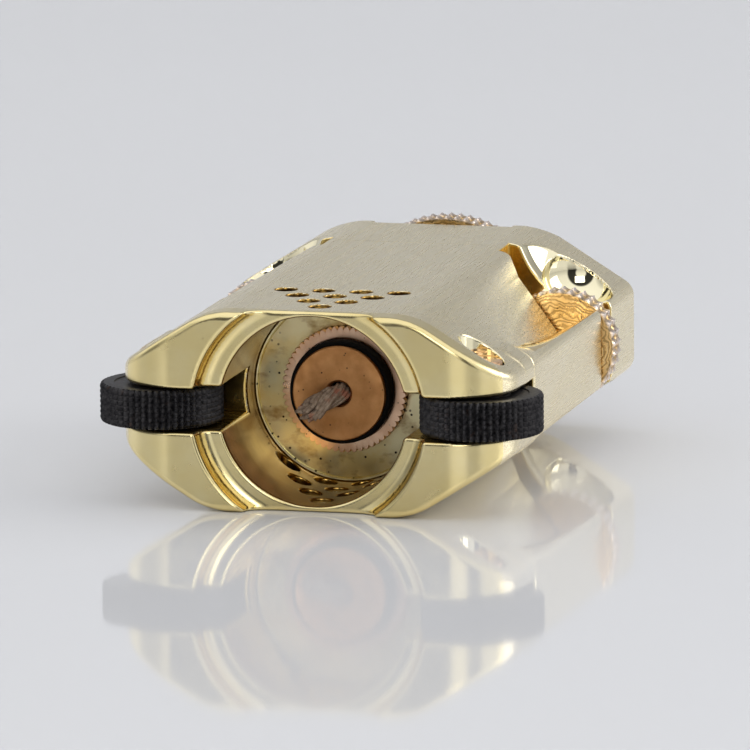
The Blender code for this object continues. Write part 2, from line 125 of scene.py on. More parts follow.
def scoop_level(along, y):
    """The scoop's depth: a long ramp in front of the nut's slot, a trough and a round bowl behind it."""
    ramp = np.clip((y - SCOOP_START) / (NUT_SLOT[0] - SCOOP_START), 1e-3, 1.1)
    lip = np.sqrt(np.clip((y - LIP_START) / LIP_OPENING, 1e-3, 1.0))
    spread = np.where(along < RAMP_MIDDLE, ramp ** RAMP_NARROWING, lip)
    front = ramp ** RAMP_DEEPENING * ramp_depth(RAMP_MIDDLE + (along - RAMP_MIDDLE) / spread)
    beyond = np.maximum(y - NUT_SLOT[1], 0.0) / TROUGH_LENGTH
    half = np.where(along < TROUGH_MIDDLE, TROUGH_INNER_HALF, TROUGH_OUTER_HALF)
    trough = TROUGH_DEPTH * (1 - ((along - TROUGH_MIDDLE) / half) ** 2 - beyond ** 2)
    off = (along - BOWL_MIDDLE) ** 2 + (y - BOWL_Y) ** 2
    ball = np.sqrt(np.maximum(BOWL_R ** 2 - off, 0.0)) - BOWL_LIFT - np.maximum(np.sqrt(off) - BOWL_R, 0.0)
    return np.where(y < sum(NUT_SLOT) / 2, front, np.maximum(trough, ball))


def slope_length(x, z):
    """How far down the chamfer a point lies, from the edge of the broad face."""
    return ((x - BROAD_HALF) * CHAMFER_RUN - (z - HALF_THICK) * CHAMFER_DROP) / CHAMFER_SLOPE


def scoop(x, y, z):
    """Negative in the finger scoops."""
    along, under = slope_length(x, z), -above_chamfer(x, z)
    level, step = scoop_level(along, y), 0.05
    steep_x = (scoop_level(along + step, y) - level) / step
    steep_y = (scoop_level(along, y + step) - level) / step
    return (under - level) / np.sqrt(1 + steep_x ** 2 + steep_y ** 2)


def vent_holes(x, y):
    found = np.full(np.broadcast(x, y).shape, np.inf)
    for row in range(VENT_ROWS):
        for i in range(row + 1):
            across = (i - row / 2) * VENT_PITCH
            if across >= 0:
                hole = np.hypot(x - across, y - VENT_APEX - row * VENT_ROW) - VENT_R
                found = np.minimum(found, hole)
    return found


def cutters(x, y, z):
    """(finish, field, edge radius) of everything cut from the block."""
    round_axis = np.hypot(x, z)
    feed = np.hypot(x - FEED_X, z)
    nut_middle, nut_half = sum(NUT_SLOT) / 2, (NUT_SLOT[1] - NUT_SLOT[0]) / 2
    yield "step", round_and(round_axis - RECESS_R, y - RECESS_DEPTH, 1.3), 0.45
    yield "bore", np.maximum(round_axis - CHIMNEY_R, y - TANK_START), 0.35
    yield "bore", np.maximum(round_axis - TANK_R, y - LENGTH + 0.5), 0.2
    yield "front", np.maximum(round_axis - CAP_RECESS_R, LENGTH - CAP_RECESS_DEPTH - y), 0.3
    yield "slot", np.maximum(z - WHEEL_SLOT_HALF, y - WHEEL_SLOT_DEPTH), 0.35
    yield "ramp", np.where(y < nut_middle, scoop(x, y, z), np.inf), 0.5
    yield "dish", np.where(y < nut_middle, np.inf, scoop(x, y, z)), 0.25
    yield "slot", np.maximum(abs(y - nut_middle) - nut_half, NUT_SLOT_X - x), 0.25
    yield "vent", vent_holes(x, y), 0.15
    yield "dish", np.hypot(x - WHEEL_X, y - WHEEL_Y) - AXLE_HOLE_R, 0.25
    yield "slot", np.maximum(feed - FEED_BORE_R, WHEEL_SLOT_DEPTH - 1 - y), 0.1
    yield "slot", np.maximum(feed - SCREW_BORE_R, SCREW_SEAT - y), 0.15


def block(x, y, z):
    x, z = abs(x), abs(z)
    field = block_outside(x, y, z)
    for _, cutter, radius in cutters(x, y, z):
        field = cut(field, cutter, radius)
    return field


def slope_of(field, points, step=0.02):
    """The field's gradient at points, by differences."""
    gradient = np.empty_like(points)
    for axis in range(3):
        ahead, behind = points.copy(), points.copy()
        ahead[:, axis] += step
        behind[:, axis] -= step
        gradient[:, axis] = (field(*ahead.T) - field(*behind.T)) / (2 * step)
    return gradient


def surface_net(field, low, high, step):
    """Vertices and four-sided faces where the field crosses nought, by surface nets."""
    axes = [np.arange(a, b + step, step) for a, b in zip(low, high)]
    grid = np.meshgrid(*axes, indexing="ij", sparse=True)
    values = field(*grid).astype(np.float32)
    inside = values < 0
    count = inside.astype(np.int8)
    for axis in range(3):
        first = [slice(None)] * 3
        second = [slice(None)] * 3
        first[axis], second[axis] = slice(None, -1), slice(1, None)
        count = count[tuple(first)] + count[tuple(second)]
    cells = np.argwhere((count > 0) & (count < 8))
    corners = {}
    for corner in np.ndindex(2, 2, 2):
        corners[corner] = values[tuple((cells + corner).T)]
    total = np.zeros((len(cells), 3))
    hits = np.zeros(len(cells))
    for corner in np.ndindex(2, 2, 2):
        for axis in range(3):
            if corner[axis]:
                continue
            other = list(corner)
            other[axis] = 1
            a, b = corners[corner], corners[tuple(other)]
            crosses = (a < 0) != (b < 0)
            share = np.where(crosses, a / np.where(crosses, a - b, 1.0), 0.0)
            total[crosses] += corner
            total[crosses, axis] += share[crosses]
            hits += crosses
    vertices = np.array([a[0] for a in axes]) + (cells + total / hits[:, None]) * step
    number = np.full([len(a) - 1 for a in axes], -1, np.int32)
    number[tuple(cells.T)] = np.arange(len(cells))
    faces = []
    for axis in range(3):
        u, v = (axis + 1) % 3, (axis + 2) % 3
        first = [slice(1, -1)] * 3
        second = [slice(1, -1)] * 3
        first[axis], second[axis] = slice(None, -1), slice(1, None)
        a, b = inside[tuple(first)], inside[tuple(second)]
        edges = np.argwhere(a != b)
        offset = np.ones(3, int)
        offset[axis] = 0
        outward = a[tuple(edges.T)]
        edges = edges + offset
        quad = []
        for du, dv in ((1, 1), (0, 1), (0, 0), (1, 0)):
            cell = edges.copy()
            cell[:, u] -= du
            cell[:, v] -= dv
            quad.append(number[tuple(cell.T)])
        quad = np.stack(quad, 1)
        faces += [quad[outward], quad[~outward][:, ::-1]]
    return vertices, np.concatenate(faces)


def mirrored(vertices, faces, axis):
    """Adds the other half of a shape whose seam lies on the axis's plane."""
    seam = abs(vertices[:, axis]) < 1e-6
    vertices[seam, axis] = 0.0
    number = np.where(seam, np.arange(len(vertices)), np.cumsum(~seam) - 1 + len(vertices))
    copies = vertices[~seam].copy()
    copies[:, axis] *= -1
    return np.concatenate([vertices, copies]), np.concatenate([faces, number[faces][:, ::-1]])


def mesh_of(name, vertices, faces, normals=None):
    mesh = bpy.data.meshes.new(name)
    sides = faces.shape[1]
    mesh.vertices.add(len(vertices))
    mesh.vertices.foreach_set("co", np.asarray(vertices, np.float32).ravel())
    mesh.loops.add(faces.size)
    mesh.loops.foreach_set("vertex_index", np.asarray(faces, np.int32).ravel())
    mesh.polygons.add(len(faces))
    mesh.polygons.foreach_set("loop_start", np.arange(0, faces.size, sides, dtype=np.int32))
    mesh.update(calc_edges=True)
    mesh.shade_smooth()
    if normals is not None:
        mesh.normals_split_custom_set_from_vertices(normals)
    return mesh


def place(name, mesh, body, nodes, slot, materials):
    """Makes an object of a mesh in metres, riding on a body in place of CAD nodes."""
    for made in materials:
        mesh.materials.append(made)
    obj = bpy.data.objects.new(name, mesh)
    bpy.context.scene.collection.objects.link(obj)
    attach(obj, body)
    if nodes:
        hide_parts(*nodes)
    return obj


def make_block(materials):
    names = list(materials)
    margin = 3 * GRID
    vertices, faces = surface_net(
        block, (-GRID / 2, -margin, -GRID / 2),
        (HALF_WIDTH + margin, LENGTH + margin, HALF_THICK + margin), GRID,
    )
    used, faces = np.unique(faces, return_inverse=True)
    vertices, faces = vertices[used], faces.reshape(-1, 4)
    for _ in range(2):
        gradient = slope_of(block, vertices)
        push = block(*vertices.T)[:, None] * gradient
        push /= np.maximum((gradient ** 2).sum(1), 0.25)[:, None]
        vertices -= np.clip(push, -GRID / 2, GRID / 2)
    centres = vertices[faces].mean(1)
    finish = np.full(len(faces), names.index("satin"))
    for name, cutter, radius in cutters(*centres.T):
        finish[abs(cutter) < ON_CUTTER] = names.index(name)
    satin, step, ramp = (finish == names.index(name) for name in ("satin", "step", "ramp"))
    finish[satin & (centres[:, 1] < FRONT_DEPTH)] = names.index("front")
    finish[step & (centres[:, 1] > RECESS_DEPTH - 0.25)] = names.index("front")
    finish[ramp & (slope_length(centres[:, 0], centres[:, 2]) > VALLEY)] = names.index("lip")
    for axis in (0, 2):
        vertices, faces = mirrored(vertices, faces, axis)
        finish = np.tile(finish, 2)
    normals = slope_of(block, vertices)
    normals /= np.maximum(np.linalg.norm(normals, axis=1), 1e-9)[:, None]
    mesh = mesh_of("brass_block", vertices * MM + np.array(FRONT), faces, normals)
    mesh.polygons.foreach_set("material_index", finish.astype(np.int32))
    return place("brass_block", mesh, "block", ["body"], "brass", [materials[n] for n in names])


# Turned and knurled pieces

def ridge(turn, teeth):
    """0 at the top of a tooth and 1 in the gap beside it; turn is in radians."""
    phase = (turn * teeth / (2 * math.pi)) % 1.0
    return abs(2 * phase - 1)


def knurl(depth, teeth, power, share=0.0):
    """The bite of straight knurling. A share of its depth is taken off all the way round."""
    return lambda turn: depth * share + depth * (1 - share) * ridge(turn, teeth) ** power


def turned(name, rows, axis, centre, segments):
    """A solid of revolution. Each row is (radius, position along the axis, bite); bite(turn) is taken off."""
    turns = np.arange(segments) * 2 * math.pi / segments
    rings = []
    for radius, along, bite in rows:
        reach = radius - (bite(turns) if bite else 0.0)
        reach = np.broadcast_to(reach, turns.shape)
        flat = (reach * np.cos(turns), reach * np.sin(turns), np.full(segments, along))
        rings.append(np.stack((flat[0], flat[2], flat[1]) if axis == "Y" else flat, 1))
    vertices = np.concatenate(rings) * MM + np.array(centre)
    count = len(rows)
    faces = []
    here = np.arange(segments)
    there = (here + 1) % segments
    for i in range(count):
        j = (i + 1) % count
        first, second = i * segments, j * segments
        quad = np.stack([first + here, first + there, second + there, second + here], 1)
        faces.append(quad if axis == "Z" else quad[:, ::-1])
    mesh = mesh_of(name, vertices, np.concatenate(faces))
    mesh.set_sharp_from_angle(angle=math.radians(28))
    return mesh


def knurled_disc(name, radius, half, inner, centre):
    """A disc with straight knurling, in two bands with a groove between them."""
    edge, teeth, depth = 0.3, 34, 0.35
    crest, worn, low = (knurl(depth, teeth, 0.8, share) for share in (0.0, 0.75, 0.8))
    rows = [
        (inner, -half, None), (radius - depth - 0.25, -half, None), (radius, -half + 0.05, worn),
        (radius, -half + edge, crest), (radius, -0.30, crest), (radius, -0.2, low),
        (radius - depth - 0.1, 0.0, None), (radius, 0.2, low), (radius, 0.30, crest),
        (radius, half - edge, crest), (radius, half - 0.05, worn), (radius - depth - 0.25, half, None),
        (inner, half, None),
    ]
    return turned(name, rows, "Y", centre, teeth * 8)


def make_wheel(side, material):
    """A striking wheel: its rim is cut into columns of small beads."""
    node = side + "_wheel"
    radius, half = size(node).x / 2 / MM, size(node).z / 2 / MM
    columns, beads, depth, edge, bore = 56, 7, 0.40, 0.18, 2.2
    rows = [(bore, -half, None), (bore + 0.6, -half, None), (bore + 0.7, -half + 0.12, None)]
    rows += [(radius - 1.5, -half + 0.12, None), (radius - 1.4, -half, None)]
    rim = knurl(depth, columns, 1.3)
    rows += [(radius - edge - 0.2, -half, None), (radius - edge, -half + 0.04, rim)]
    rows += [(radius - 0.05, -half + edge, rim)]
    steps = beads * 6
    for i in range(steps + 1):
        along = -half + edge + (2 * half - 2 * edge) * i / steps
        gap = abs(2 * ((i / 6) % 1.0) - 1) ** 3

        def bite(turn, gap=gap):
            return depth * np.clip(ridge(turn, columns) ** 1.3 + 0.3 * gap, 0, 1)

        rows.append((radius, along, bite))
    rows += [(radius - 0.05, half - edge, rim), (radius - edge, half - 0.04, rim)]
    rows += [(radius - edge - 0.2, half, None)]
    rows += [(radius - 1.4, half, None), (radius - 1.5, half - 0.12, None)]
    rows += [(bore + 0.7, half - 0.12, None), (bore + 0.6, half, None), (bore, half, None)]
    mesh = turned(side + "_knurled_wheel", rows, "Z", middle(node), columns * 8)
    place(side + "_knurled_wheel", mesh, node, [node], "black_steel", [material])


def make_nut(side, materials):
    node = side + "_feed_nut"
    reach = size(node)
    mesh = knurled_disc(side + "_knurled_nut", reach.x / 2 / MM, reach.y / 2 / MM, 1.42, middle(node))
    place(side + "_knurled_nut", mesh, node, [node], "copper", materials)


def make_cap(materials):
    low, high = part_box("filler_cap")
    radius, length = (high.x - low.x) / 2 / MM, (high.y - low.y) / MM
    thick, spigot = 3.2, 7.6
    seat = length - thick
    depth, edge, teeth = 0.35, 0.35, 66
    crest, worn, groove = (knurl(depth, teeth, 0.8, share) for share in (0.0, 0.75, 0.8))
    half = seat + thick / 2
    rows = [
        (0.02, 0.0, None), (spigot - 0.5, 0.0, None), (spigot, 0.5, None), (spigot, seat, None),
        (radius - depth - 0.3, seat, None), (radius, seat + 0.05, worn), (radius, seat + edge, crest),
        (radius, half - 0.3, crest), (radius, half - 0.2, groove), (radius - depth - 0.1, half, None),
        (radius, half + 0.2, groove), (radius, half + 0.3, crest),
        (radius, length - edge, crest), (radius, length - 0.05, worn),
        (radius - depth - 0.3, length, None), (6.0, length, None), (5.8, length - 0.15, None),
        (0.02, length - 0.15, None),
    ]
    centre = Vector((middle("filler_cap").x, low.y, middle("filler_cap").z))
    mesh = turned("knurled_cap", rows, "Y", centre, teeth * 8)
    place("knurled_cap", mesh, "filler_cap", ["filler_cap"], "copper", materials)


def make_ring(materials):
    """The knurled ring round the wick's plug, with its sleeve behind it."""
    low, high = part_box("wick_ring")
    radius, length = (high.x - low.x) / 2 / MM, (high.y - low.y) / MM
    flange, bore, sleeve, sleeve_bore, teeth, depth = 1.0, 5.25, 5.75, 4.87, 60, 0.32
    crest, worn = knurl(depth, teeth, 2.4), knurl(depth, teeth, 2.4, 0.3)
    rows = [
        (bore + 0.05, 0.0, None), (radius - depth - 0.1, 0.0, None), (radius - 0.05, 0.02, crest),
        (radius, 0.1, crest), (radius, flange - 0.15, crest), (radius - 0.15, flange, worn),
        (sleeve, flange, None), (sleeve, length, None), (sleeve_bore, length, None),
        (sleeve_bore, flange, None), (bore, flange, None), (bore, 0.05, None),
    ]
    centre = Vector((0.0, low.y, middle("wick_ring").z))
    mesh = turned("knurled_ring", rows, "Y", centre, teeth * 8)
    place("knurled_ring", mesh, "wick_ring", ["wick_ring"], "copper", materials)


def make_plate(materials):
    low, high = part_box("burner_plate")
    radius, length = CHIMNEY_R - 0.03, (high.y - low.y) / MM
    rows = [
        (6.2, 0.1, None), (6.3, 0.0, None), (radius - 0.4, 0.0, None), (radius - 0.3, 0.06, None),
        (radius - 0.22, -0.06, None), (radius - 0.08, -0.08, None), (radius, 0.02, None),
        (radius, length, None), (5.85, length, None),
        (5.85, 0.5, None), (6.2, 0.5, None),
    ]
    centre = Vector((0.0, low.y, middle("burner_plate").z))
    mesh = turned("turned_plate", rows, "Y", centre, 192)
    place("turned_plate", mesh, "block", ["burner_plate"], "pale_brass", materials)


def make_plug(materials):
    """The wick's plug: a face with a raised rim, the groove of its seal, and a long shank."""
    low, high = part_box("wick_plug")
    radius, length = (high.x - low.x) / 2 / MM, (high.y - low.y) / MM
    hole = 1.17
    rows = [
        (hole, 0.25, None), (hole + 0.2, 0.05, None), (hole + 0.35, 0.03, None), (3.0, 0.05, None),
        (radius - 0.4, 0.06, None), (radius - 0.26, 0.0, None), (radius - 0.1, 0.0, None), (radius, 0.1, None),
        (radius, 0.45, None), (3.6, 0.45, None), (3.6, 2.05, None), (radius, 2.05, None),
        (radius, length, None), (hole, length, None),
    ]
    centre = Vector((0.0, low.y, middle("wick_plug").z))
    mesh = turned("turned_plug", rows, "Y", centre, 160)
    place("turned_plug", mesh, "wick_plug", ["wick_plug"], "copper", materials)


def make_plug_seal_and_shadow(materials):
    """A fat rubber ring that fills the plug's groove. It is made wider than the plug, so its near-black edge
    also stands in for the shadow in the gap round the plug.
    """
    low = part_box("wick_plug")[0]
    inner, outer, start, end, edge = 3.65, 5.2, 0.5, 2.02, 0.3
    rows = [(inner, start, None), (outer - edge, start, None)]
    for i in range(1, 6):
        a = math.pi / 2 * i / 6
        rows.append((outer - edge * (1 - math.sin(a)), start + edge * (1 - math.cos(a)), None))
    rows += [(outer, start + edge, None), (outer, end, None), (inner, end, None)]
    centre = Vector((0.0, low.y, middle("wick_plug").z))
    mesh = turned("plug_rubber_and_shadow", rows, "Y", centre, 128)
    place("plug_rubber_and_shadow", mesh, "wick_plug", ["plug_seal"], "rubber", materials)


def make_axle(side, materials):
    node = side + "_axle"
    radius, half = size(node).x / 2 / MM, size(node).z / 2 / MM
    rows = []
    for end in (-1, 1):
        rim = [(0.02, end * (half - 0.12), None), (0.5, end * (half - 0.12), None), (0.7, end * half, None)]
        rim += [(radius - 0.2, end * half, None), (radius, end * (half - 0.2), None)]
        rows += rim if end < 0 else rim[::-1]
    mesh = turned(side + "_pin", rows, "Z", middle(node), 64)
    place(side + "_pin", mesh, "block", [node], "copper", materials)


def tube_along(points, radii, sides=8):
    """Vertices and faces of a tapering tube through points, closed at both ends."""
    rings = []
    for i, point in enumerate(points):
        ahead = points[min(i + 1, len(points) - 1)] - points[max(i - 1, 0)]
        turn = Vector((0.0, 0.0, 1.0)).rotation_difference(ahead.normalized())
        for k in range(sides):
            a = 2 * math.pi * k / sides
            rings.append(point + turn @ (Vector((math.cos(a), math.sin(a), 0.0)) * radii[i]))
    faces = []
    for i in range(len(points) - 1):
        for k in range(sides):
            n = (k + 1) % sides
            faces.append((i * sides + k, i * sides + n, (i + 1) * sides + n, (i + 1) * sides + k))
    return rings, faces


def make_wick(materials):
    """A twisted bundle of strands whose burnt end leans down and to the left and comes apart."""
    chance = random.Random(4)
    front = Vector((0.0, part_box("wick_plug")[0].y, middle("wick_plug").z)) / MM
    lean = (
        (-3.0, -3.0, -1.6), (-2.1, -2.4, -1.05), (-1.2, -1.6, -0.5), (-0.4, -0.7, -0.12), (0.0, 0.3, 0.0),
    )
    back = Vector((0.0, (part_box("wick")[1].y / MM) - front.y, 0.0))
    path = [Vector(p) for p in lean] + [Vector((0.0, 2.0, 0.0)), back]
    vertices, faces = [], []
    strands, golden_turn, bundle_radius = 34, 0.382, 0.92
    for s in range(strands):
        angle, reach = 2 * math.pi * s * golden_turn, bundle_radius * math.sqrt((s + 0.5) / strands)
        loose = 0.75 * chance.random() ** 2
        points, radii = [], []
        short = chance.random() * 0.9
        wave = chance.random() * 6.28
        for i in range(19):
            t = i / 18 * 5
            k = min(int(t), 4)
            centre = path[k].lerp(path[k + 1], t - k) if k < 4 else path[4].lerp(path[5], t - 4)
            open_end = max(0.0, 1 - t / 2.6) ** 1.5
            turn = angle + 0.55 * t
            spread = reach * (1 - 0.12 * open_end) + loose * open_end
            offset = Vector((math.cos(turn), 0.0, math.sin(turn))) * spread
            offset += Vector((0.12 * math.sin(3 * t + wave), 0.0, 0.12 * math.cos(2.3 * t + wave))) * open_end
            if t < short:
                continue
            points.append(front + centre + offset)
            radii.append((0.19 + 0.1 * open_end) * (1 - 0.5 * max(0.0, 1 - (t - short) * 2)))
        points.append(front + path[6] + Vector((math.cos(angle), 0.0, math.sin(angle))) * reach * 0.9)
        radii.append(0.17)
        ring, quads = tube_along(points, radii)
        faces += [tuple(len(vertices) + v for v in quad) for quad in quads]
        vertices += ring
    mesh = mesh_of("wick_strands", np.array(vertices) * MM, np.array(faces))
    place("wick_strands", mesh, "wick_plug", ["wick"], "wick", materials)


# Materials

class Shader:
    """A small helper that adds nodes to one material and joins them up."""

    def __init__(self, name, colour, roughness, metallic=1.0):
        self.material = bpy.data.materials.new(name)
        self.material.use_nodes = True
        self.tree = self.material.node_tree
        self.surface = self.tree.nodes["Principled BSDF"]
        self.surface.inputs["Base Color"].default_value = (*colour, 1.0)
        self.surface.inputs["Roughness"].default_value = roughness
        self.surface.inputs["Metallic"].default_value = metallic
        self.place = self.node("ShaderNodeTexCoord").outputs["Object"]

    def node(self, kind, **settings):
        made = self.tree.nodes.new(kind)
        for name, value in settings.items():
            if name in made.inputs:
                made.inputs[name].default_value = value
            else:
                setattr(made, name, value)
        return made

    def link(self, source, node, name):
        self.tree.links.new(source, node.inputs[name])

    def stretched(self, scale):
        mapping = self.node("ShaderNodeMapping")
        mapping.inputs["Scale"].default_value = scale
        self.link(self.place, mapping, "Vector")
        return mapping.outputs["Vector"]

    def noise(self, scale, detail=4.0, stretch=(1.0, 1.0, 1.0), roughness=0.55):
        """Noise with about that many features in a metre."""
        made = self.node("ShaderNodeTexNoise", Scale=scale, Detail=detail, Roughness=roughness)
        self.link(self.stretched(stretch), made, "Vector")
        return made.outputs["Fac"]

    def specks(self, scale, size, soft=0.03):
        """1 inside small spots and 0 elsewhere."""
        made = self.node("ShaderNodeTexVoronoi", Scale=scale)
        self.link(self.place, made, "Vector")
        return self.ramp(made.outputs["Distance"], (size, 1.0), (size + soft, 0.0))

    def ramp(self, value, *stops):
        made = self.node("ShaderNodeValToRGB")
        elements = made.color_ramp.elements
        while len(elements) < len(stops):
            elements.new(0.5)
        for element, (at, level) in zip(elements, stops):
            element.position = at
            shade = level if isinstance(level, tuple) else (level, level, level)
            element.color = (*shade, 1.0)
        self.link(value, made, "Fac")
        return made.outputs["Color"]

    def times(self, a, b):
        made = self.node("ShaderNodeMath", operation="MULTIPLY")
        self.tree.links.new(a, made.inputs[0])
        if isinstance(b, float):
            made.inputs[1].default_value = b
        else:
            self.tree.links.new(b, made.inputs[1])
        return made.outputs[0]

    def mix(self, factor, first, second, blend="MIX"):
        made = self.node("ShaderNodeMix", data_type="RGBA", blend_type=blend)
        for socket, value in (("A", first), ("B", second)):
            found = [s for s in made.inputs if s.name == socket and s.type == "RGBA"][0]
            if isinstance(value, tuple):
                found.default_value = (*value, 1.0)
            else:
                self.tree.links.new(value, found)
        if isinstance(factor, float):
            made.inputs["Factor"].default_value = factor
        else:
            self.tree.links.new(factor, made.inputs["Factor"])
        return [s for s in made.outputs if s.type == "RGBA"][0]

    def colour(self, source):
        self.link(source, self.surface, "Base Color")

    def roughness(self, source):
        self.link(source, self.surface, "Roughness")

    def bump(self, height, distance, strength=1.0):
        made = self.node("ShaderNodeBump", Distance=distance, Strength=strength)
        self.link(height, made, "Height")
        previous = self.surface.inputs["Normal"]
        if previous.is_linked:
            self.link(previous.links[0].from_socket, made, "Normal")
        self.link(made.outputs["Normal"], self.surface, "Normal")


BRASS = (0.88, 0.74, 0.37)
BRASS_DEEP = (0.66, 0.49, 0.17)
BRASS_PALE = (0.92, 0.84, 0.58)
SATIN_BRASS = ((0.95, 0.84, 0.57), (0.88, 0.74, 0.44), (0.97, 0.89, 0.70))
POLISHED_BRASS = (BRASS, BRASS_DEEP, BRASS_PALE)
SLOT_BRASS = ((0.84, 0.62, 0.20), (0.58, 0.37, 0.08), BRASS)
STAINED_BRASS = ((0.50, 0.31, 0.08), (0.11, 0.05, 0.012), (0.88, 0.60, 0.16))


def brass_finish(name, roughness, brushing, grain, tarnish, pits, tones=POLISHED_BRASS, uneven=0.2):
    """Machined brass: fine brushing along the grain's smallest number, faint tarnish and tiny pits."""
    plain, deep, pale = tones
    made = Shader(name, plain, roughness)
    cloud = made.noise(90.0, 5.0)
    shade = made.mix(made.ramp(cloud, (0.35, 0.0), (0.75, tarnish)), plain, deep)
    shade = made.mix(made.ramp(made.noise(260.0, 4.0), (0.4, 0.0), (0.8, 0.35)), shade, pale)
    spots = made.specks(700.0, 0.055)
    spots = made.times(spots, made.ramp(made.noise(160.0), (0.5, 0.0), (0.62, pits)))
    made.colour(made.mix(spots, shade, (0.16, 0.11, 0.05)))
    streaks = made.noise(1.0, 3.0, grain)
    low, high = roughness * (1 - uneven), roughness * (1 + uneven)
    made.roughness(made.mix(made.ramp(streaks, (0.3, 0.0), (0.75, 1.0)), (low,) * 3, (high,) * 3))
    made.bump(streaks, brushing)
    made.bump(made.noise(200.0, 3.0), 0.00003, 0.35)
    return made.material


def block_materials():
    lengthwise, turned_way = (4200.0, 140.0, 4200.0), (300.0, 5200.0, 300.0)
    milled = (2600.0, 260.0, 2600.0)
    return {
        "satin": brass_finish("brass_satin", 0.27, 0.0000004, lengthwise, 0.3, 0.5, SATIN_BRASS),
        "front": brass_finish("brass_front", 0.24, 0.000001, (600.0, 600.0, 600.0), 0.35, 0.35),
        "step": brass_finish("brass_step", 0.22, 0.00004, (1500.0, 900.0, 1500.0), 0.5, 0.6, SLOT_BRASS, 0.4),
        "bore": brass_finish("brass_bore", 0.17, 0.000008, turned_way, 1.0, 0.9, STAINED_BRASS, 0.4),
        "vent": brass_finish("brass_vent", 0.2, 0.000004, turned_way, 0.9, 0.6, STAINED_BRASS, 0.4),
        "slot": brass_finish("brass_slot", 0.24, 0.000008, turned_way, 0.6, 0.6, SLOT_BRASS, 0.4),
        "ramp": brass_finish("brass_ramp", 0.27, 0.0000006, lengthwise, 0.25, 0.6, SATIN_BRASS),
        "lip": brass_finish("brass_lip", 0.09, 0.00001, milled, 0.6, 0.4, SLOT_BRASS, 0.4),
        "dish": brass_finish("brass_dish", 0.05, 0.0000008, milled, 0.1, 0.3, (BRASS_PALE, BRASS, BRASS_PALE)),
    }


def from_point(made, point):
    """Where the surface lies from a point."""
    mapping = made.node("ShaderNodeMapping")
    mapping.inputs["Location"].default_value = [-v for v in point]
    made.link(made.place, mapping, "Vector")
    return mapping.outputs["Vector"]


def paint_tooth_highlight(made, shade, place, radius, pale):
    """Paints a pale highlight on the surface near a radius round the Y axis, where the teeth are."""
    split, flat = made.node("ShaderNodeSeparateXYZ"), made.node("ShaderNodeCombineXYZ")
    made.link(place, split, "Vector")
    for axis in ("X", "Z"):
        made.link(split.outputs[axis], flat, axis)
    away = made.node("ShaderNodeVectorMath", operation="LENGTH")
    made.tree.links.new(flat.outputs["Vector"], away.inputs[0])
    reach = made.node("ShaderNodeMapRange")
    reach.inputs["From Min"].default_value = radius - 0.35 * MM
    reach.inputs["From Max"].default_value = radius - 0.05 * MM
    made.link(away.outputs["Value"], reach, "Value")
    return made.mix(reach.outputs["Result"], shade, pale)


def copper_finish(name, light, deep, roughness, turned_marks, rings_about=None, highlight_tips=None):
    """Copper with stains. rings_about adds turned marks round that point.

    tips, a radius and a colour, paints a pale highlight on the teeth at that radius.
    """
    made = Shader(name, light, roughness)
    cloud = made.noise(420.0, 5.0)
    shade = made.mix(made.ramp(cloud, (0.35, 0.0), (0.72, 1.0)), light, deep)
    if rings_about is not None:
        from_axis = from_point(made, rings_about)
        rings = made.node("ShaderNodeTexWave", Scale=700.0, Distortion=14.0, Detail=4.0, wave_type="RINGS")
        rings.rings_direction = "Y"
        made.link(from_axis, rings, "Vector")
        made.bump(rings.outputs["Fac"], 0.00002, 0.6)
        dark = tuple(0.45 * c for c in deep)
        shade = made.mix(made.ramp(rings.outputs["Fac"], (0.2, 0.7), (0.5, 0.0)), shade, dark)
        if highlight_tips is not None:
            shade = paint_tooth_highlight(made, shade, from_axis, *highlight_tips)
    where = made.ramp(made.noise(500.0), (0.45, 0.0), (0.6, 0.95))
    spots = made.times(made.specks(1500.0, 0.10, 0.05), where)
    made.colour(made.mix(spots, shade, (0.05, 0.03, 0.02)))
    made.roughness(made.ramp(made.noise(700.0), (0.3, roughness * 0.8), (0.75, roughness * 1.5)))
    made.bump(made.noise(1.0, 3.0, turned_marks), 0.000008)
    made.bump(cloud, 0.00002, 0.4)
    return made.material


def black_steel_finish():
    made = Shader("black_steel_finish", (0.03, 0.028, 0.03), 0.42, 0.6)
    fine = made.noise(2600.0, 4.0)
    shade = made.mix(made.ramp(fine, (0.4, 0.0), (0.75, 1.0)), (0.010, 0.009, 0.011), (0.07, 0.066, 0.068))
    rust = made.ramp(made.noise(600.0), (0.62, 0.0), (0.75, 0.5))
    made.colour(made.mix(rust, shade, (0.09, 0.045, 0.025)))
    made.roughness(made.ramp(fine, (0.3, 0.36), (0.8, 0.6)))
    made.bump(fine, 0.00003, 0.6)
    return made.material


def plate_finish():
    """The burner plate: pale brass with heat stains and dark specks."""
    made = Shader("plate_finish", (0.80, 0.72, 0.42), 0.4)
    cloud = made.noise(230.0, 6.0)
    shade = made.mix(made.ramp(cloud, (0.42, 0.0), (0.62, 0.9)), (0.84, 0.77, 0.48), (0.78, 0.62, 0.26))
    stain = made.ramp(made.noise(330.0, 6.0, (1.0, 1.0, 1.6)), (0.54, 0.0), (0.70, 0.8))
    shade = made.mix(stain, shade, (0.30, 0.17, 0.05))
    where = made.ramp(made.noise(400.0), (0.4, 0.0), (0.55, 1.0))
    spots = made.times(made.specks(1100.0, 0.11, 0.05), where)
    made.colour(made.mix(spots, shade, (0.03, 0.02, 0.015)))
    made.roughness(made.ramp(made.noise(500.0), (0.3, 0.28), (0.8, 0.5)))
    made.bump(made.noise(800.0, 5.0), 0.00003, 0.6)
    return made.material


def plain_finish(name, light, deep, scale, roughness, metallic, depth):
    """Two tones mottled at one scale, for hidden and soft pieces."""
    made = Shader(name, light, roughness, metallic)
    grain = made.noise(scale, 5.0)
    made.colour(made.mix(made.ramp(grain, (0.35, 0.0), (0.7, 1.0)), light, deep))
    made.roughness(made.ramp(grain, (0.3, roughness * 0.85), (0.8, min(1.0, roughness * 1.2))))
    made.bump(grain, depth, 0.8)
    return made.material


